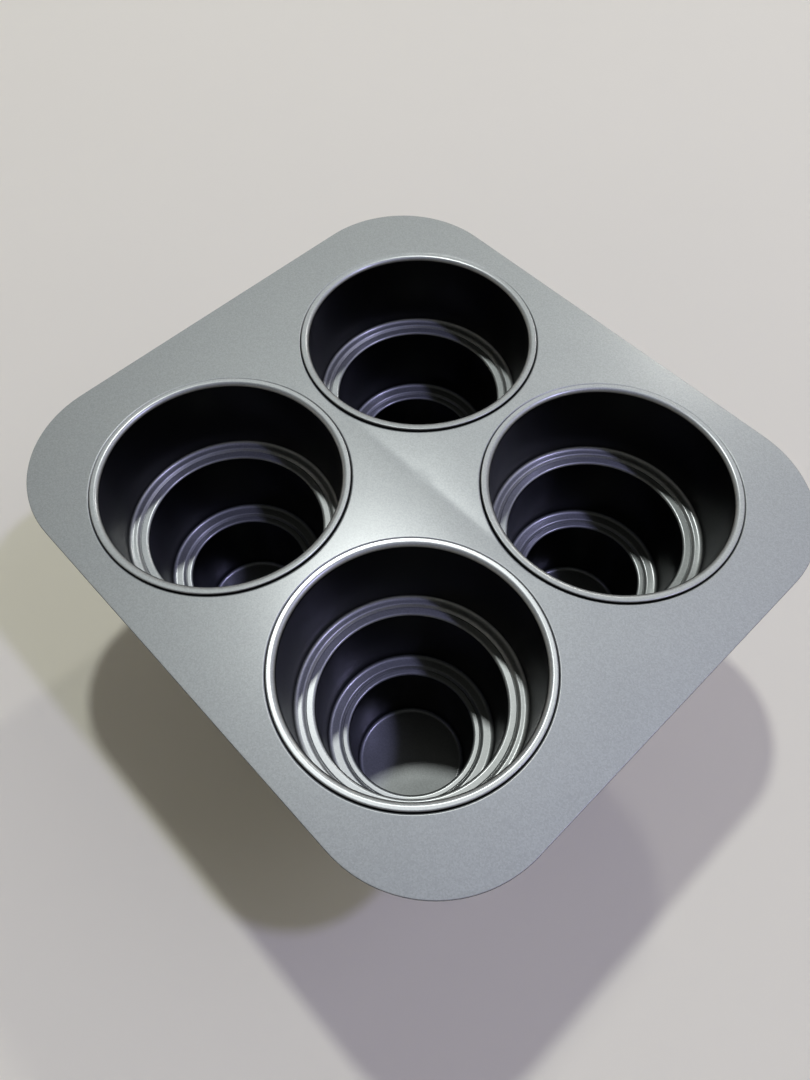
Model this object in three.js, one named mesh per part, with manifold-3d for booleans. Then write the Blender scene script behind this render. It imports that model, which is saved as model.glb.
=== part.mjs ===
// Mini tiered cake pan: a flat plate with four deep three-tier cups seamed into it.
// Millimetres, +Z up, +X along the plate's long side. The origin is on the surface that the pan stands on,
// under the middle of the plate.

import * as THREE from 'three';
import { mergeVertices } from 'three/addons/utils/BufferGeometryUtils.js';
import Module from 'manifold-3d';

// Cup, on its baking side; the ledges between its tiers are listed from the floor up
const FLOOR_RADIUS = 25.1;
const TIER_HEIGHT = 38.3;
const LOWER_INNER_BAND = 3;
const LOWER_OUTER_BAND = 5.2;
const UPPER_INNER_BAND = 3.75;
const UPPER_OUTER_BAND = 3.61;
const LEDGES = [
  { innerBand: LOWER_INNER_BAND, outerBand: LOWER_OUTER_BAND },
  { innerBand: UPPER_INNER_BAND, outerBand: UPPER_OUTER_BAND },
];
const STEP_DROP = 0.9;
const STEP_OFFSET = 1.2;
const WALL_DRAFT = THREE.MathUtils.degToRad(3.6);
const FOOT_FILLET = 2.2;
const CUP_SHEET = 0.6;

// Rolled rim of a cup; a bend radius is the one on the hidden side of the sheet
const RIM_HEIGHT = 1;
const RIM_INNER_BEND = 1.8;
const RIM_OUTER_BEND = 0.7;
const LIP_BEND = 0.9;

// Lock seam: the collar of a plate hole, with the cup's skirt inside it and hooked round its lower edge
const SEAM_CLEARANCE = 0.3;
const COLLAR_BEND = 0.3;
const COLLAR_STRAIGHT = 3.5;
const HOOK_GAP = 1;

// Plate; its margins run from the collars to its edges
const PLATE_SHEET = 0.9;
const PLATE_CORNER_RADIUS = 50;
const END_MARGIN = 24.1;
const SIDE_MARGIN = 12.6;
const CUP_GAP = 2.2;

// Faceting
const SEGMENTS = 32;
const CORNER_SEGMENTS = 6;
const BEND_STEP = Math.PI / 4;
const JOIN_LAND = 0.2;
const JOIN_OVERLAP = 0.4;
const SAME_POINT = 1e-4;

const COATING = { color: 0x4a4b4d, roughness: 0.38, metalness: 0.55 };

const wasm = await Module();
wasm.setup();

const corner = (radius, height, bend = 0) => ({ at: new THREE.Vector2(radius, height), bend });

// Replaces each corner that has a bend radius by an arc that is tangent to both of its straight runs.
function bentPath(corners) {
  return corners.flatMap(({ at, bend }, index) => {
    if (bend === 0) {
      return [at];
    }
    const before = corners[index - 1].at.clone().sub(at).normalize();
    const after = corners[index + 1].at.clone().sub(at).normalize();
    const turn = Math.PI - Math.acos(before.dot(after));
    const reach = bend * Math.tan(turn / 2);
    const centre = before.clone().add(after).setLength(bend / Math.cos(turn / 2)).add(at);
    const start = before.multiplyScalar(reach).add(at).sub(centre);
    const end = after.multiplyScalar(reach).add(at).sub(centre);
    const sweep = Math.sign(start.cross(end)) * turn;
    const steps = Math.max(1, Math.round(turn / BEND_STEP));
    return Array.from({ length: steps + 1 }, (_, step) => (
      start.clone().rotateAround(new THREE.Vector2(), (sweep * step) / steps).add(centre)
    ));
  });
}

// Counter-clockwise outline of a bent sheet: one face is the path, the other lies a thickness to its right.
function sheetOutline(path, thickness) {
  const rightOf = (from, to) => new THREE.Vector2(to.y - from.y, from.x - to.x).normalize();
  const otherFace = path.map((point, index) => {
    const incoming = rightOf(path[Math.max(index - 1, 0)], path[Math.max(index, 1)]);
    const last = path.length - 1;
    const outgoing = rightOf(path[Math.min(index, last - 1)], path[Math.min(index + 1, last)]);
    const mitre = incoming.clone().add(outgoing).normalize();
    return mitre.multiplyScalar(thickness / mitre.dot(outgoing)).add(point);
  });
  return [...otherFace, ...path.toReversed()];
}

// Turns an outline of (radius, height) points about the Z axis.
function turned(outline) {
  return new THREE.LatheGeometry(outline, SEGMENTS).rotateX(Math.PI / 2);
}

function toSolid(geometry) {
  const bare = geometry.clone();
  bare.deleteAttribute('normal');
  bare.deleteAttribute('uv');
  const merged = mergeVertices(bare, SAME_POINT);
  return new wasm.Manifold(new wasm.Mesh({
    numProp: 3,
    vertProperties: new Float32Array(merged.attributes.position.array),
    triVerts: new Uint32Array(merged.index.array),
  }));
}

function toGeometry(solid) {
  const mesh = solid.getMesh();
  const geometry = new THREE.BufferGeometry();
  geometry.setAttribute('position', new THREE.BufferAttribute(mesh.vertProperties, mesh.numProp));
  geometry.setIndex(new THREE.BufferAttribute(mesh.triVerts, 1));
  geometry.computeVertexNormals();
  return geometry;
}

function coatedPiece(name, geometry) {
  const piece = new THREE.Mesh(geometry, new THREE.MeshStandardMaterial(COATING));
  piece.name = name;
  return piece;
}

// Corners of the baking face from the middle of the floor to the foot of the top wall. Heights are above the
// plate's top face. Each ledge has a rounded lip, an inner band, a small sloping step and an outer band.
function stackTiers() {
  const floor = -TIER_HEIGHT * (LEDGES.length + 1);
  const wallLean = (height) => height * Math.tan(WALL_DRAFT);
  const corners = [corner(0, floor), corner(FLOOR_RADIUS, floor, FOOT_FILLET)];
  let foot = FLOOR_RADIUS;
  LEDGES.forEach(({ innerBand, outerBand }, index) => {
    const height = floor + TIER_HEIGHT * (index + 1);
    const lip = foot + wallLean(TIER_HEIGHT - STEP_DROP);
    const step = lip + innerBand;
    foot = step + STEP_OFFSET + outerBand;
    corners.push(
      corner(lip, height - STEP_DROP, LIP_BEND + CUP_SHEET),
      corner(step, height - STEP_DROP),
      corner(step + STEP_OFFSET, height),
      corner(foot, height, FOOT_FILLET),
    );
  });
  return { corners, floor, mouth: foot + wallLean(TIER_HEIGHT + RIM_HEIGHT) };
}

// Radii and heights that the cups and the plate share
const tiers = stackTiers();
const rimInnerRound = RIM_INNER_BEND + CUP_SHEET;
const rimOuterRound = RIM_OUTER_BEND + CUP_SHEET;
const rimRadius = tiers.mouth + rimInnerRound + rimOuterRound;
const collarRadius = rimRadius + SEAM_CLEARANCE;
const collarRound = COLLAR_BEND + PLATE_SHEET;
const collarEnd = -collarRound - COLLAR_STRAIGHT;
const hookRadius = collarRadius + PLATE_SHEET + SEAM_CLEARANCE;
const hookFloor = collarEnd - SEAM_CLEARANCE;
const hookEnd = -collarRound - HOOK_GAP;
const landRadius = collarRadius + collarRound + JOIN_LAND;
const cupPitch = 2 * (hookRadius + CUP_SHEET) + CUP_GAP;
const plateTop = CUP_SHEET - tiers.floor;

const cupPlaces = [
  { side: 'front_left', x: -1, y: -1 },
  { side: 'front_right', x: 1, y: -1 },
  { side: 'back_left', x: -1, y: 1 },
  { side: 'back_right', x: 1, y: 1 },
].map(({ side, x, y }) => ({ side, x: (x * cupPitch) / 2, y: (y * cupPitch) / 2 }));

// One drawn sheet: floor, tiers, rolled rim, and the skirt that hooks round the collar from inside.
function cupGeometry() {
  const bakingFace = bentPath([
    ...tiers.corners,
    corner(tiers.mouth, RIM_HEIGHT, rimInnerRound),
    corner(rimRadius, RIM_HEIGHT, rimOuterRound),
    corner(rimRadius, hookFloor),
    corner(hookRadius, hookFloor),
    corner(hookRadius, hookEnd),
  ]);
  return turned(sheetOutline(bakingFace, CUP_SHEET));
}

// The turned-down edge of one hole, with a narrow ring of the flat plate round it.
function collarGeometry() {
  const topFace = bentPath([
    corner(collarRadius, collarEnd),
    corner(collarRadius, 0, collarRound),
    corner(landRadius + JOIN_OVERLAP, 0),
  ]);
  const outline = sheetOutline(topFace, PLATE_SHEET);
  return turned([...outline, outline[0]]);
}

// The flat of the plate: a rectangle with round corners and a hole up to each collar's ring.
function flatSheetGeometry() {
  const cornerX = cupPitch / 2 + collarRadius + END_MARGIN - PLATE_CORNER_RADIUS;
  const cornerY = cupPitch / 2 + collarRadius + SIDE_MARGIN - PLATE_CORNER_RADIUS;
  const quarter = Math.PI / 2;
  const outline = new THREE.Shape();
  outline.absarc(cornerX, cornerY, PLATE_CORNER_RADIUS, 0, quarter);
  outline.absarc(-cornerX, cornerY, PLATE_CORNER_RADIUS, quarter, 2 * quarter);
  outline.absarc(-cornerX, -cornerY, PLATE_CORNER_RADIUS, 2 * quarter, 3 * quarter);
  outline.absarc(cornerX, -cornerY, PLATE_CORNER_RADIUS, 3 * quarter, 4 * quarter);
  outline.closePath();
  outline.holes = cupPlaces.map(({ x, y }) => {
    const rim = new THREE.EllipseCurve(x, y, landRadius, landRadius, 0, 4 * quarter, true);
    return new THREE.Path(rim.getPoints(SEGMENTS));
  });
  const options = { depth: PLATE_SHEET, bevelEnabled: false, curveSegments: CORNER_SEGMENTS };
  return new THREE.ExtrudeGeometry(outline, options).translate(0, 0, -PLATE_SHEET);
}

function plateGeometry() {
  const collar = collarGeometry();
  const plate = cupPlaces.reduce(
    (sheet, { x, y }) => sheet.add(toSolid(collar.clone().translate(x, y, 0))),
    toSolid(flatSheetGeometry()),
  );
  return toGeometry(plate);
}

const pan = new THREE.Group();
pan.position.z = plateTop;
pan.add(coatedPiece('top_plate', plateGeometry()));
cupPlaces.forEach(({ side, x, y }) => {
  const cup = coatedPiece(`cup_${side}`, cupGeometry());
  cup.position.set(x, y, 0);
  pan.add(cup);
});

export default pan;
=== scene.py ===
import math

import bpy
import numpy as np
from bpy.props import FloatProperty, FloatVectorProperty, IntProperty, PointerProperty
from mathutils import Euler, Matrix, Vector


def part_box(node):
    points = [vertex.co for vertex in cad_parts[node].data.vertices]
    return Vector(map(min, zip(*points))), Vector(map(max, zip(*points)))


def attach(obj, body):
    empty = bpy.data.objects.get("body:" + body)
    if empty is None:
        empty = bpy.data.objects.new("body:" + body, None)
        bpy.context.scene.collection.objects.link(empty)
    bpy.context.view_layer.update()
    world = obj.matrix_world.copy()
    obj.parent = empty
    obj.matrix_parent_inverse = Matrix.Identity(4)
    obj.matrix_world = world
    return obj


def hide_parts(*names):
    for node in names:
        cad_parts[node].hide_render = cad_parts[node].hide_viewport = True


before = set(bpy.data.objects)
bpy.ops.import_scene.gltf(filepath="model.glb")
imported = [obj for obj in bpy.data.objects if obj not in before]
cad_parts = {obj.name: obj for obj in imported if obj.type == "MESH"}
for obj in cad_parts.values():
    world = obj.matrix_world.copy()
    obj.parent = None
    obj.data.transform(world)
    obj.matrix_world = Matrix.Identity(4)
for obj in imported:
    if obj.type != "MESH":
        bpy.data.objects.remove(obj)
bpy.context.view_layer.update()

bl_info = {
    "name": "Tiered Cake Pan",
    "version": (1, 0, 0),
    "blender": (4, 5, 0),
    "location": "3D View > Sidebar > Cake Pan",
    "description": "Builds a baking plate with four seamed three-tier cups, and a stage to show it on",
    "category": "Add Mesh",
}

MM = 0.001

# Each cup's piece and the node that it stands for
CUP_NODES = {
    "front_left_tier_cup": "cup_front_left",
    "front_right_tier_cup": "cup_front_right",
    "back_left_tier_cup": "cup_back_left",
    "back_right_tier_cup": "cup_back_right",
}

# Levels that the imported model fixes
PLATE_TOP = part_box("top_plate")[1][2]
RIM_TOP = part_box("cup_front_left")[1][2]

# Number of tiers in a cup
TIERS = 3

# Fineness of the surfaces
ROUND_STEP = math.radians(9)
LEAST_ROUND_STEPS = 3
RUN_STEP = 3 * MM
RUN_END = 0.12 * MM
SHORT_RUN = 4 * RUN_END
CUT_END_STEPS = 8
EDGE_STEPS = 4
LEAST_SPAN_STEPS = 4
FLAT_ROWS = 24
STAGE_TURNS = 96
SAME_POINT = 1e-7
LEAST_RAY = 1e-9

# Refractive index of the coating's clear film; the cups are shinier than the plate
PLATE_FILM_INDEX = 1.5
CUP_FILM_INDEX = 1.8

# Upward share of a surface's normal on a drawn wall and on a flat, and the attribute that tells them apart
# The level share also sets painted shade: steep walls get a far darker coating tone than flats
WALL_FACING = 0.3
FLAT_FACING = 0.85
LEVEL_SHARE = "level_share"

# Fine variation of the coating: repeats per metre, shares of the tone and of the roughness, height of the
# relief and the grain's share in it
HAZE_SCALE = 45.0
GRAIN_SCALE = 1500.0
FLAKE_TONE = 0.16
HAZE_TONE = 0.06
HAZE_BLUR = 0.06
GRAIN_BLUR = 0.05
RELIEF_HEIGHT = 0.003 * MM
RELIEF_GRAIN = 0.7

# Matt floor: repeats of its faint mottle per metre, share of the tone, and roughness
MOTTLE_SCALE = 3.0
MOTTLE_TONE = 0.02
FLOOR_ROUGHNESS = 0.9

# Sockets of a Mix node that mixes colours: the share, the colours at nought and at one, and the result
MIX_SHARE, MIX_FIRST, MIX_SECOND, MIX_RESULT = 0, 6, 7, 2

# Faint fold along X across the plate: where it runs, how far from the middle it starts to fade and ends, and
# how round it is
FOLD_LINE = 4 * MM
FOLD_FULL_LENGTH = 40 * MM
FOLD_END = 75 * MM
FOLD_ROUND = 1 * MM

# View of the pan from above its front right cup, a little left of the diagonal
CAMERA_PLACE = (0.15058, -0.14865, 0.4271)
CAMERA_TURN = (30.563, 0.167, 46.319)
CAMERA_LENS = 30.269
CAMERA_SENSOR = 36.0

# Lamps: name, azimuth and elevation from the plate's middle, width, light on a surface that faces them, tint
LAMP_DISTANCE = 4.0
LAMPS = (
    ("far_left_lamp", 142.2, 64.2, 0.22, 1.03, (0.95, 1.0, 0.98)),
    ("right_lamp", 36.5, 61.7, 0.22, 0.56, (0.79, 0.78, 1.42)),
    ("right_panel", 45, 50, 2.6, 0.38, (0.92, 0.92, 1.1)),
    ("far_right_panel", 95, 45, 2.6, 0.1, (1.0, 1.0, 1.0)),
    ("far_low_lamp", 110, 39.5, 0.22, 0.38, (1.0, 1.0, 0.95)),
)


def length(name, description, metres):
    """A length that a user can set, in metres."""
    return FloatProperty(
        name=name, description=description, default=metres, min=0, precision=5, unit="LENGTH",
    )


def colour(name, description, rgb):
    """A linear colour that a user can set."""
    return FloatVectorProperty(
        name=name, description=description, default=rgb, size=3, min=0, max=1, subtype="COLOR",
    )


def share(name, description, value):
    """A share from nought to one that a user can set."""
    return FloatProperty(name=name, description=description, default=value, min=0, max=1, subtype="FACTOR")


class CupSizes(bpy.types.PropertyGroup):
    """Sizes of one drawn cup, on its baking side."""

    floor_radius: length("Floor radius", "Radius of the floor out to the foot of the lowest wall", 24.9 * MM)
    floor_crown: length("Floor crown", "Height of the middle of the floor above its foot", 0.55 * MM)
    crown_radius: length("Crown radius", "Radius where the crown of the floor starts to fall", 8 * MM)
    crown_round: length("Crown round", "Bend radius of the floor's crown", 300 * MM)
    tier_height: length("Tier height", "Height from one tier's floor to the next", 38.3 * MM)
    lower_inner_band: length("Lower inner band", "Width of the lower ledge inside its step", 3.2 * MM)
    lower_outer_band: length("Lower outer band", "Width of the lower ledge outside its step", 5 * MM)
    upper_inner_band: length("Upper inner band", "Width of the upper ledge inside its step", 3.95 * MM)
    upper_outer_band: length("Upper outer band", "Width of the upper ledge outside its step", 3.61 * MM)
    step_drop: length("Step drop", "Height of the small step in each ledge", 0.8 * MM)
    step_lean: length("Step lean", "How far the small step leans outwards", 1.2 * MM)
    crease_depth: length("Crease depth", "Depth of the crease at the foot of the small step", 0.25 * MM)
    crease_width: length("Crease width", "Width of the crease's slope on the inner band", 0.4 * MM)
    crease_round: length("Crease round", "Bend radius where the inner band dips into the crease", 0.3 * MM)
    step_foot_round: length("Step foot round", "Bend radius at the bottom of the crease", 0.1 * MM)
    step_top_round: length("Step top round", "Bend radius at the top of the small step", 1.2 * MM)
    wall_draft: FloatProperty(
        name="Wall draft", description="Lean of the walls, so that a cake slides out",
        default=math.radians(3.6), subtype="ANGLE",
    )
    ledge_fall: FloatProperty(
        name="Ledge fall", description="Slope of the ledges down towards the middle of the cup",
        default=math.radians(2), subtype="ANGLE",
    )
    foot_fillet: length("Foot fillet", "Radius where a wall meets the floor or ledge below it", 2.2 * MM)
    lip_round: length("Lip round", "Radius where a wall turns out into a ledge", 1.4 * MM)
    sheet: length("Sheet", "Thickness of the drawn sheet", 0.6 * MM)
    rim_width: length("Rim width", "Width of the rim from the mouth to the seam", 3.7 * MM)
    rim_fall: FloatProperty(
        name="Rim fall", description="Slope of the rim down towards the mouth",
        default=math.radians(3), subtype="ANGLE",
    )
    rim_inner_round: length("Rim inner round", "Radius of the rim's crown on the mouth side", 2.2 * MM)
    rim_outer_round: length("Rim outer round", "Radius of the rim's crown on the seam side", 0.5 * MM)
    hook_round: length("Hook round", "Bend radius inside the hook under the plate", 0.3 * MM)
    hook_gap: length("Hook gap", "Space between the hook's end and the plate's bend", 1 * MM)
    turns: IntProperty(name="Turns", description="Number of steps round a cup", default=192, min=16)


class PlateSizes(bpy.types.PropertyGroup):
    """Sizes of the flat plate and of the collars round its holes."""

    sheet: length("Sheet", "Thickness of the plate", 0.9 * MM)
    corner_radius: length("Corner radius", "Radius of the plate's corners", 50 * MM)
    seam_clearance: length("Seam clearance", "Space between a collar and the skirt inside it", 0.15 * MM)
    collar_round: length("Collar round", "Radius where the plate turns down into a hole", 0.95 * MM)
    collar_straight: length("Collar straight", "Straight height of a collar below its bend", 3.5 * MM)
    edge_round: length("Edge round", "Radius of the plate's cut edge", 0.3 * MM)
    fold_depth: length("Fold depth", "Depth of the faint fold across the middle of the plate", 0.4 * MM)
    fold_reach: length("Fold reach", "Distance in front of the fold's line where it fades", 7 * MM)
    fold_rear_reach: length("Fold rear reach", "Distance behind the fold's line where it fades", 14 * MM)
    turns: IntProperty(name="Turns", description="Number of steps round a hole", default=192, min=16)


class CoatingLook(bpy.types.PropertyGroup):
    """Finish of the non-stick coating."""

    flat_tone: colour("Flat tone", "Tone of the flakes on the plate and the ledges", (0.34, 0.355, 0.35))
    # Painted shade: the walls' tone is far darker than the flats' only to stand in for the shade inside the
    # cups
    wall_shade_tone: colour("Drawn tone", "Tone of the flakes on the drawn walls", (0.012, 0.012, 0.013))
    flat_spread: share("Flat spread", "Roughness of the flakes on the plate and the ledges", 0.6)
    drawn_spread: share("Drawn spread", "Roughness of the flakes on the drawn walls", 0.45)
    drawn_film: share("Drawn film", "Share of the clear film that is left on the drawn walls", 0.2)
    gloss_blur: share("Gloss blur", "Roughness of the clear film over the flakes", 0.24)
    flake_size: length("Flake size", "Width of the metallic flakes in the coating", 0.5 * MM)


class StageLook(bpy.types.PropertyGroup):
    """Floor and room round the pan."""

    floor_colour: colour("Floor colour", "Colour of the floor and of its backdrop", (0.81, 0.775, 0.67))
    room_colour: colour("Room colour", "Colour of the light that fills the room", (0.05, 0.051, 0.047))
    floor_reach: length("Floor reach", "Radius of the floor", 2.2)
    backdrop_round: length("Backdrop round", "Radius of the curve from the floor up into the backdrop", 0.8)
    backdrop_height: length("Backdrop height", "Height of the backdrop", 1.5)


def smooth_step(values, start, end):
    """Nought up to a start, one past an end, and the curve 3 t² - 2 t³ between them."""
    way = np.clip((values - start) / (end - start), 0, 1)
    return way * way * (3 - 2 * way)


def bent_path(corners):
    """A run of straight lines through corners of (radius, height, bend), as an array of points.

    A corner with a bend becomes the arc of that radius which touches both of its lines. Straight lines get a
    point close to each end, so that smooth shading keeps them flat, and others at even steps.
    """
    at = np.array([corner[:2] for corner in corners])
    bend = np.array([corner[2] for corner in corners])
    runs = np.diff(at, axis=0)
    runs /= np.linalg.norm(runs, axis=1, keepdims=True)
    turns = np.zeros(len(at))
    turns[1:-1] = np.arctan2(
        runs[:-1, 0] * runs[1:, 1] - runs[:-1, 1] * runs[1:, 0], np.sum(runs[:-1] * runs[1:], axis=1),
    )
    reach = bend * np.tan(np.abs(turns) / 2)
    pieces = [at[:1]]
    for index in range(1, len(at)):
        run = runs[index - 1]
        start = at[index - 1] + run * reach[index - 1]
        end = at[index] - run * reach[index]
        pieces.append(run_points(start, end))
        if bend[index] > 0:
            pieces.append(arc_points(end, run, turns[index], bend[index]))
        else:
            pieces.append(end[None])
    return np.concatenate(pieces)


def run_points(start, end):
    """Points inside a straight line: one near each end and others at even steps between them."""
    distance = np.linalg.norm(end - start)
    if distance < SHORT_RUN:
        return np.empty((0, 2))
    margin = RUN_END / distance
    shares = np.linspace(margin, 1 - margin, 2 + int(distance / RUN_STEP))
    return start + shares[:, None] * (end - start)


def arc_points(start, heading, turn, radius):
    """Points of an arc that leaves a start along a heading and turns by an angle to its left."""
    steps = max(LEAST_ROUND_STEPS, math.ceil(abs(turn) / ROUND_STEP))
    bearings = np.linspace(0, turn, steps + 1)
    left = np.array([-heading[1], heading[0]])
    side = radius * math.copysign(1, turn)
    forward = radius * np.sin(np.abs(bearings))
    sideways = side * (1 - np.cos(bearings))
    return start + forward[:, None] * heading + sideways[:, None] * left


def other_face(path, thickness):
    """The path moved by a thickness to its right, square to both of the lines that meet at each point."""
    runs = np.diff(path, axis=0)
    runs /= np.linalg.norm(runs, axis=1, keepdims=True)
    right = np.stack([runs[:, 1], -runs[:, 0]], axis=1)
    before = np.concatenate([right[:1], right])
    after = np.concatenate([right, right[-1:]])
    mitre = before + after
    mitre /= np.linalg.norm(mitre, axis=1, keepdims=True)
    return path + thickness * mitre / np.sum(mitre * after, axis=1, keepdims=True)


def sheet_profile(path, thickness):
    """Both faces of a bent sheet, out along the path, round its cut end and back along the other face."""
    back = other_face(path, thickness)
    heading = path[-1] - path[-2]
    heading /= np.linalg.norm(heading)
    angles = np.linspace(0, math.pi, CUT_END_STEPS + 1)[1:-1, None]
    middle = (path[-1] + back[-1]) / 2
    half = (path[-1] - back[-1]) / 2
    end = middle + np.cos(angles) * half + np.sin(angles) * heading * abs(thickness) / 2
    return np.concatenate([path, end, back[::-1]])


def turned(profile, centre, bearings):
    """Grid of a profile of (radius, height) turned about a vertical axis through the centre."""
    radius = profile[:, :1]
    height = np.broadcast_to(profile[:, 1:], (len(profile), len(bearings)))
    return np.stack([
        centre[0] + radius * np.cos(bearings),
        centre[1] + radius * np.sin(bearings),
        height,
    ], axis=-1)


def grid_quads(grid, first):
    """Corner numbers of a grid's four-sided faces, when its points are counted from a first number."""
    numbers = first + np.arange(grid.shape[0] * grid.shape[1]).reshape(grid.shape[:2])
    return np.stack([
        numbers[:-1, :-1], numbers[1:, :-1], numbers[1:, 1:], numbers[:-1, 1:],
    ], axis=-1).reshape(-1, 4)


def joined_quads(grids):
    """Points and four-sided faces of grids whose edges meet, with points that coincide joined."""
    firsts = np.cumsum([0] + [grid.shape[0] * grid.shape[1] for grid in grids])
    quads = np.concatenate([grid_quads(grid, first) for grid, first in zip(grids, firsts)])
    points = np.concatenate([grid.reshape(-1, 3) for grid in grids])
    _, kept, joined = np.unique(
        np.round(points / SAME_POINT).astype(np.int64), axis=0, return_index=True, return_inverse=True,
    )
    return points[kept], joined.reshape(-1)[quads]


def grid_mesh(name, grids, closed=False):
    """One smooth mesh from grids whose edges meet; a closed one has its faces turned outwards.

    A face that has shrunk to three corners at a pole becomes a triangle, and to two corners is left out. The
    faces of a closed mesh point outwards when the volume that they enclose comes out positive.
    """
    points, quads = joined_quads(grids)
    a, b, c, d = (points[quads[:, corner]] for corner in range(4))
    volume = np.sum(a * np.cross(b, c)) + np.sum(a * np.cross(c, d))
    if closed and volume < 0:
        quads = quads[:, ::-1]
    distinct = quads != np.roll(quads, -1, axis=1)
    sides = distinct.sum(axis=1)
    solid = sides >= 3
    loops = quads[solid][distinct[solid]]
    starts = np.cumsum(sides[solid]) - sides[solid]
    mesh = bpy.data.meshes.new(name)
    mesh.vertices.add(len(points))
    mesh.vertices.foreach_set("co", points.ravel())
    mesh.loops.add(len(loops))
    mesh.loops.foreach_set("vertex_index", loops)
    mesh.polygons.add(len(starts))
    mesh.polygons.foreach_set("loop_start", starts)
    mesh.polygons.foreach_set("use_smooth", np.ones(len(starts), dtype=bool))
    mesh.update(calc_edges=True)
    if mesh.validate():
        raise RuntimeError(f"{name} has faulty faces")
    return mesh


def mark_level(mesh):
    """Store how level the surface is at each point: nought on a drawn wall, one on a flat."""
    normals = np.empty(3 * len(mesh.vertices), dtype=np.float32)
    mesh.vertex_normals.foreach_get("vector", normals)
    level = mesh.attributes.new(LEVEL_SHARE, "FLOAT", "POINT")
    level.data.foreach_set("value", smooth_step(np.abs(normals[2::3]), WALL_FACING, FLAT_FACING))


def link_piece(mesh, material):
    """An object for a finished mesh, at the origin, with its material."""
    piece = bpy.data.objects.new(mesh.name, mesh)
    mesh.materials.append(material)
    bpy.context.scene.collection.objects.link(piece)
    return piece


def tier_corners(cup):
    """Corners of the baking face from the middle of the floor to the foot of the top wall.

    The floor is slightly crowned, and each wall leans out by its draft. Each ledge has a round lip, an inner
    band, a crease at the foot of a small step, and an outer band. Both bands fall towards the middle.
    """
    lean = math.tan(cup.wall_draft)
    fall = math.tan(cup.ledge_fall)
    floor = PLATE_TOP - TIERS * cup.tier_height
    foot = cup.floor_radius
    corners = [
        (0, floor + cup.floor_crown, 0),
        (cup.crown_radius, floor + cup.floor_crown, cup.crown_round),
        (foot, floor, cup.foot_fillet),
    ]
    bands = ((cup.lower_inner_band, cup.lower_outer_band), (cup.upper_inner_band, cup.upper_outer_band))
    for tier, (inner_band, outer_band) in enumerate(bands, start=1):
        ledge = floor + tier * cup.tier_height
        lip = foot + lean * (cup.tier_height - cup.step_drop)
        step = lip + inner_band
        foot = step + cup.step_lean + outer_band
        corners += [
            (lip, ledge - cup.step_drop - fall * inner_band / 2, cup.lip_round),
            (step - cup.crease_width, ledge - cup.step_drop + fall * inner_band / 2, cup.crease_round),
            (step, ledge - cup.step_drop - cup.crease_depth, cup.step_foot_round),
            (step + cup.step_lean, ledge - fall * outer_band / 2, cup.step_top_round),
            (foot, ledge + fall * outer_band / 2, cup.foot_fillet),
        ]
    return corners


def rim_radius(cup):
    """Radius of the skirt that runs down inside a collar."""
    foot = tier_corners(cup)[-1]
    return foot[0] + math.tan(cup.wall_draft) * (RIM_TOP - PLATE_TOP + cup.tier_height) + cup.rim_width


def cup_profile(cup, plate):
    """Both faces of a cup's sheet: floor, tiers, rolled rim, and the skirt that hooks round the collar."""
    skirt = rim_radius(cup)
    hook = skirt + plate.sheet + 2 * plate.seam_clearance
    hook_floor = PLATE_TOP - plate.collar_round - plate.collar_straight - plate.seam_clearance
    hook_end = PLATE_TOP - plate.collar_round - cup.hook_gap
    end_round = cup.sheet / 2
    path = bent_path([
        *tier_corners(cup),
        (skirt - cup.rim_width, RIM_TOP - math.tan(cup.rim_fall) * cup.rim_width, cup.rim_inner_round),
        (skirt, RIM_TOP, cup.rim_outer_round),
        (skirt, hook_floor, cup.hook_round),
        (hook, hook_floor, cup.hook_round),
        (hook, hook_end - end_round, 0),
    ])
    return sheet_profile(path, cup.sheet)


def cup_centre(node):
    """Middle of a cup's node, on the floor."""
    low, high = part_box(node)
    return ((low[0] + high[0]) / 2, (low[1] + high[1]) / 2)


def cup_mesh(name, node, cup, plate):
    """One cup: its profile turned about its axis."""
    bearings = np.linspace(0, 2 * math.pi, cup.turns + 1)
    grid = turned(cup_profile(cup, plate), cup_centre(node), bearings)
    grid[:, -1] = grid[:, 0]
    mesh = grid_mesh(name, [grid], closed=True)
    mark_level(mesh)
    return mesh


def quarter_bearings(centre, half_length, half_width, corner_radius, turns):
    """Bearings from a hole's centre all round a quarter of the plate, and the number of its edge's steps.

    There is a bearing at each key point. The first spans between key points are on the plate's own edge.
    """
    outer_spans = 3
    marks = np.array([
        (half_length, 0), (half_length, half_width - corner_radius),
        (half_length - corner_radius, half_width), (0, half_width), (0, 0),
    ])
    ways = np.arctan2(marks[:, 1] - centre[1], marks[:, 0] - centre[0])
    ways = np.unwrap(np.append(ways, ways[0]))
    counts = np.maximum(LEAST_SPAN_STEPS, np.round(turns * np.diff(ways) / (2 * math.pi))).astype(int)
    spans = [
        np.linspace(start, end, count, endpoint=False)
        for start, end, count in zip(ways[:-1], ways[1:], counts)
    ]
    return np.append(np.concatenate(spans), ways[-1]), counts[:outer_spans].sum()


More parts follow.
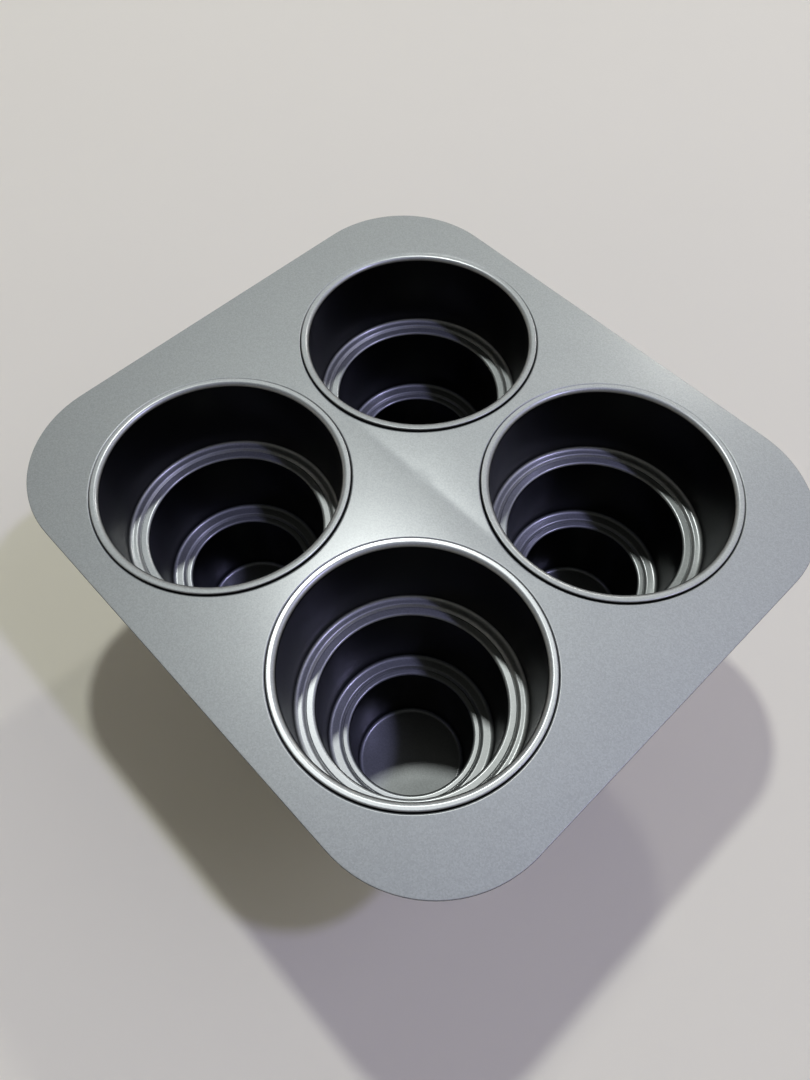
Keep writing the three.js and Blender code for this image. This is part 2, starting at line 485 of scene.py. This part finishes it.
def quarter_outline(centre, bearings, half_length, half_width, corner_radius):
    """Points where rays from a hole's centre leave its quarter of the plate, and the outward edge normals.

    A ray ends on the nearest of the quarter's four sides. Past the start of the round corner it ends on the
    corner's circle instead. Points on the two inner sides have no normal.
    """
    ray = np.stack([np.cos(bearings), np.sin(bearings)], axis=1)
    far = np.array([half_length, half_width])
    sides = np.where(ray > 0, far, 0) - centre
    reach = np.min(sides / np.where(np.abs(ray) < LEAST_RAY, LEAST_RAY, ray), axis=1)
    points = centre + reach[:, None] * ray
    bend = far - corner_radius
    offset = np.asarray(centre) - bend
    along = ray @ offset
    arc_reach = -along + np.sqrt(np.maximum(along ** 2 - offset @ offset + corner_radius ** 2, 0))
    arc = centre + arc_reach[:, None] * ray
    in_corner = np.all(points > bend + SAME_POINT, axis=1)
    points = np.where(in_corner[:, None], arc, points)
    normals = (np.abs(points - far) < SAME_POINT).astype(float)
    normals = np.where(in_corner[:, None], (points - bend) / corner_radius, normals)
    return points, normals


def folded(grid, plate, collar_end):
    """A grid of the plate, lowered by a faint fold along X.

    With a distance √(t² + r²) - r from its line, where r rounds the fold, the drop is the fold's depth
    times e to the power of minus distance over reach. The reach is longer behind the line than in front of
    it. The drop fades towards the fold's ends, and evenly down the collars, whose lower ends stay in their
    seams.
    """
    behind = grid[..., 1] - FOLD_LINE
    reach = np.where(behind > 0, plate.fold_rear_reach, plate.fold_reach)
    across = (np.hypot(behind, FOLD_ROUND) - FOLD_ROUND) / reach
    ends = 1 - smooth_step(np.abs(grid[..., 0]), FOLD_FULL_LENGTH, FOLD_END)
    hanging = np.clip((grid[..., 2] - collar_end) / (PLATE_TOP - plate.sheet - collar_end), 0, 1)
    drop = plate.fold_depth * ends * np.exp(-across) * hanging
    return grid - drop[..., None] * np.array([0, 0, 1])


def plate_mesh(name, cup, plate):
    """The plate: four mirrored quarters, each a fan of rays round its hole.

    Along each ray the surface runs in over the top face, down and up the collar, and out over the underside
    to the quarter's outline. A second grid rounds the cut edge from the top face to the underside.
    """
    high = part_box("top_plate")[1]
    half_length, half_width = high[0], high[1]
    centre = np.abs(cup_centre("cup_back_right"))
    collar = rim_radius(cup) + plate.seam_clearance
    collar_end = PLATE_TOP - plate.collar_round - plate.collar_straight
    bearings, edge_columns = quarter_bearings(
        centre, half_length, half_width, plate.corner_radius, plate.turns,
    )
    outline, normals = quarter_outline(centre, bearings, half_length, half_width, plate.corner_radius)
    inset = outline - normals * plate.edge_round

    top_face = bent_path([
        (collar + plate.collar_round + RUN_END, PLATE_TOP, 0),
        (collar, PLATE_TOP, plate.collar_round),
        (collar, collar_end + plate.sheet / 2, 0),
    ])
    ring = turned(sheet_profile(top_face, -plate.sheet), centre, bearings)
    shares = smooth_step(np.linspace(0, 1, FLAT_ROWS), 0, 1)[:, None, None]
    flats = []
    for edge, level in ((ring[0], PLATE_TOP), (ring[-1], PLATE_TOP - plate.sheet)):
        flat = edge[None, :, :2] + shares * (inset[None] - edge[None, :, :2])
        flats.append(np.concatenate([flat, np.full(flat.shape[:2] + (1,), level)], axis=-1))
    sheet = np.concatenate([flats[0][::-1], ring[1:-1], flats[1]])
    sheet[:, -1] = sheet[:, 0]

    corner = np.linspace(0, math.pi / 2, EDGE_STEPS + 1)
    over = plate.edge_round * np.sin(corner)
    down = plate.edge_round * (1 - np.cos(corner))
    reach = np.concatenate([over, over[::-1]])[:, None, None]
    drop = np.concatenate([down, plate.sheet - down[::-1]])[:, None, None]
    columns = slice(0, edge_columns + 1)
    edge = np.concatenate([
        inset[None, columns] + reach * normals[None, columns],
        PLATE_TOP - drop + np.zeros((1, edge_columns + 1, 1)),
    ], axis=-1)

    grids = []
    for along, across in ((1, 1), (-1, 1), (-1, -1), (1, -1)):
        mirror = np.array([along, across, 1])
        way = along * across
        grids.append(folded(sheet * mirror, plate, collar_end)[:, ::way])
        grids.append(folded(edge * mirror, plate, collar_end)[::-1, ::way])
    mesh = grid_mesh(name, grids, closed=True)
    mark_level(mesh)
    return mesh


class Wire:
    """A node's output whose arithmetic adds Math nodes."""

    def __init__(self, nodes, socket):
        self.nodes = nodes
        self.socket = socket

    def math(self, operation, first, second):
        return self.nodes.add("ShaderNodeMath", {"operation": operation}, {0: first, 1: second})

    def __add__(self, other):
        return self.math("ADD", self, other)

    def __radd__(self, other):
        return self.math("ADD", other, self)

    def __sub__(self, other):
        return self.math("SUBTRACT", self, other)

    def __rsub__(self, other):
        return self.math("SUBTRACT", other, self)

    def __mul__(self, other):
        return self.math("MULTIPLY", self, other)

    def __rmul__(self, other):
        return self.math("MULTIPLY", other, self)


class Nodes:
    """The node tree of a material or world, emptied."""

    def __init__(self, owner):
        owner.use_nodes = True
        self.tree = owner.node_tree
        self.tree.nodes.clear()

    def add(self, kind, settings=None, inputs=None, output=0):
        """Add a node, apply its settings, set or link its inputs, and return one of its outputs."""
        node = self.tree.nodes.new(kind)
        for name, value in (settings or {}).items():
            setattr(node, name, value)
        for key, value in (inputs or {}).items():
            if isinstance(value, Wire):
                self.tree.links.new(value.socket, node.inputs[key])
            else:
                node.inputs[key].default_value = value
        return Wire(self, node.outputs[output]) if node.outputs else None


def coating_material(name, look, film_index):
    """Satin non-stick coating: metallic flakes under a clear film.

    On the steep walls of the cups the tone is painted far darker, as painted shade, and the coating is
    smoother. The plate, the ledges, the floors and the rims are level enough to keep the lighter tone and
    finish.
    """
    material = bpy.data.materials.new(name)
    nodes = Nodes(material)
    place = nodes.add("ShaderNodeTexCoord", output="Object")
    flat = nodes.add("ShaderNodeAttribute", {"attribute_name": LEVEL_SHARE}, output="Fac")
    flakes = nodes.add("ShaderNodeTexVoronoi", None, {
        "Vector": place, "Scale": 1 / look.flake_size,
    }, "Color")
    flake = nodes.add("ShaderNodeSeparateColor", None, {"Color": flakes}, "Red")
    haze = nodes.add("ShaderNodeTexNoise", None, {
        "Vector": place, "Scale": HAZE_SCALE, "Detail": 3.0,
    }, "Fac")
    grain = nodes.add("ShaderNodeTexNoise", None, {
        "Vector": place, "Scale": GRAIN_SCALE, "Detail": 2.0,
    }, "Fac")
    # Painted shade: the level share mixes the walls' near-black tone into the flats' tone on steep faces
    tone = nodes.add("ShaderNodeMix", {"data_type": "RGBA"}, {
        MIX_SHARE: flat,
        MIX_FIRST: (*look.wall_shade_tone, 1),
        MIX_SECOND: (*look.flat_tone, 1),
    }, MIX_RESULT)
    light = 1 + FLAKE_TONE * (flake - 0.5) + HAZE_TONE * (haze - 0.5)
    base = nodes.add("ShaderNodeVectorMath", {"operation": "SCALE"}, {0: tone, "Scale": light})
    spread = look.drawn_spread + (look.flat_spread - look.drawn_spread) * flat
    blur = spread + HAZE_BLUR * (haze - 0.5) + GRAIN_BLUR * (grain - 0.5)
    relief = RELIEF_HEIGHT * (RELIEF_GRAIN * grain + (1 - RELIEF_GRAIN) * flake)
    film = look.drawn_film + (1 - look.drawn_film) * flat
    bump = nodes.add("ShaderNodeBump", None, {"Strength": 1.0, "Distance": 1.0, "Height": relief})
    shader = nodes.add("ShaderNodeBsdfPrincipled", None, {
        "Base Color": base, "Metallic": 1.0, "Roughness": blur, "Normal": bump,
        "Coat Weight": film, "Coat Roughness": look.gloss_blur, "Coat IOR": film_index,
    })
    nodes.add("ShaderNodeOutputMaterial", None, {"Surface": shader})
    return material


def floor_material(look):
    """Plain matt floor with a faint mottle."""
    material = bpy.data.materials.new("pale_floor")
    nodes = Nodes(material)
    place = nodes.add("ShaderNodeTexCoord", output="Object")
    mottle = nodes.add("ShaderNodeTexNoise", None, {
        "Vector": place, "Scale": MOTTLE_SCALE, "Detail": 4.0,
    }, "Fac")
    pale = np.array(look.floor_colour)
    base = nodes.add("ShaderNodeMix", {"data_type": "RGBA"}, {
        MIX_SHARE: mottle,
        MIX_FIRST: (*(pale * (1 - MOTTLE_TONE)), 1),
        MIX_SECOND: (*np.minimum(pale * (1 + MOTTLE_TONE), 1), 1),
    }, MIX_RESULT)
    shader = nodes.add("ShaderNodeBsdfPrincipled", None, {"Base Color": base, "Roughness": FLOOR_ROUGHNESS})
    nodes.add("ShaderNodeOutputMaterial", None, {"Surface": shader})
    return material


def studio_lamp(name, azimuth, elevation, width, strength, tint):
    """A round lamp that faces the middle of the plate, hidden from the camera itself.

    The light on a surface that faces it is its power over π times the distance squared.
    """
    lamp = bpy.data.lights.new(name, "AREA")
    lamp.shape = "DISK"
    lamp.size = width
    lamp.color = tint
    lamp.energy = strength * math.pi * LAMP_DISTANCE ** 2
    turn = Euler((0, math.radians(90 - elevation), math.radians(azimuth)))
    holder = bpy.data.objects.new(name, lamp)
    holder.location = Vector((0, 0, PLATE_TOP)) + turn.to_matrix() @ Vector((0, 0, LAMP_DISTANCE))
    holder.rotation_euler = turn
    holder.visible_camera = False
    bpy.context.scene.collection.objects.link(holder)


def floor_mesh(name, look):
    """A round floor that curves up into a wall all round: a profile turned about the vertical axis."""
    profile = bent_path([
        (0, 0, 0),
        (look.floor_reach, 0, look.backdrop_round),
        (look.floor_reach, look.backdrop_height, 0),
    ])
    bearings = np.linspace(0, 2 * math.pi, STAGE_TURNS + 1)
    grid = turned(profile, (0, 0), bearings)
    grid[:, -1] = grid[:, 0]
    return grid_mesh(name, [grid])


class TIERED_PAN_OT_make_plate(bpy.types.Operator):
    """Make the flat plate with its four collared holes"""

    bl_idname = "tiered_pan.make_plate"
    bl_label = "Make Plate"

    def execute(self, context):
        scene = context.scene
        mesh = plate_mesh("collared_plate", scene.tiered_pan_cup, scene.tiered_pan_plate)
        coating = coating_material("plate_coating", scene.tiered_pan_coating, PLATE_FILM_INDEX)
        piece = link_piece(mesh, coating)
        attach(piece, "root")
        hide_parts("top_plate")
        return {"FINISHED"}


class TIERED_PAN_OT_make_cups(bpy.types.Operator):
    """Make the four three-tier cups that are seamed into the plate"""

    bl_idname = "tiered_pan.make_cups"
    bl_label = "Make Cups"

    def execute(self, context):
        scene = context.scene
        coating = coating_material("cup_coating", scene.tiered_pan_coating, CUP_FILM_INDEX)
        for name, node in CUP_NODES.items():
            mesh = cup_mesh(name, node, scene.tiered_pan_cup, scene.tiered_pan_plate)
            piece = link_piece(mesh, coating)
            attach(piece, "root")
            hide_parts(node)
        return {"FINISHED"}


class TIERED_PAN_OT_set_stage(bpy.types.Operator):
    """Set the floor, the room's light, the lamps and the camera"""

    bl_idname = "tiered_pan.set_stage"
    bl_label = "Set Stage"

    def execute(self, context):
        scene = context.scene
        look = scene.tiered_pan_stage
        floor = link_piece(floor_mesh("floor", look), floor_material(look))

        scene.world = bpy.data.worlds.new("pale_room")
        nodes = Nodes(scene.world)
        room = nodes.add("ShaderNodeBackground", None, {"Color": (*look.room_colour, 1), "Strength": 1.0})
        nodes.add("ShaderNodeOutputWorld", None, {"Surface": room})
        for lamp in LAMPS:
            studio_lamp(*lamp)

        lens = bpy.data.cameras.new("view")
        lens.lens = CAMERA_LENS
        lens.sensor_width = CAMERA_SENSOR
        camera = bpy.data.objects.new("view", lens)
        camera.location = CAMERA_PLACE
        camera.rotation_euler = [math.radians(angle) for angle in CAMERA_TURN]
        scene.collection.objects.link(camera)
        scene.camera = camera
        scene.view_settings.view_transform = "Standard"
        return {"FINISHED"}


class TIERED_PAN_PT_sidebar(bpy.types.Panel):
    """Lists the steps that build the pan"""

    bl_idname = "TIERED_PAN_PT_sidebar"
    bl_label = "Tiered Cake Pan"
    bl_space_type = "VIEW_3D"
    bl_region_type = "UI"
    bl_category = "Cake Pan"

    def draw(self, context):
        for operator in (TIERED_PAN_OT_make_plate, TIERED_PAN_OT_make_cups, TIERED_PAN_OT_set_stage):
            self.layout.operator(operator.bl_idname)


CLASSES = (
    CupSizes, PlateSizes, CoatingLook, StageLook,
    TIERED_PAN_OT_make_plate, TIERED_PAN_OT_make_cups, TIERED_PAN_OT_set_stage, TIERED_PAN_PT_sidebar,
)
SETTINGS = {
    "tiered_pan_cup": CupSizes,
    "tiered_pan_plate": PlateSizes,
    "tiered_pan_coating": CoatingLook,
    "tiered_pan_stage": StageLook,
}


def register():
    for cls in CLASSES:
        bpy.utils.register_class(cls)
    for name, group in SETTINGS.items():
        setattr(bpy.types.Scene, name, PointerProperty(type=group))


def unregister():
    for name in SETTINGS:
        delattr(bpy.types.Scene, name)
    for cls in reversed(CLASSES):
        bpy.utils.unregister_class(cls)


def main():
    register()
    bpy.ops.tiered_pan.make_plate()
    bpy.ops.tiered_pan.make_cups()
    bpy.ops.tiered_pan.set_stage()


if __name__ == "__main__":
    main()
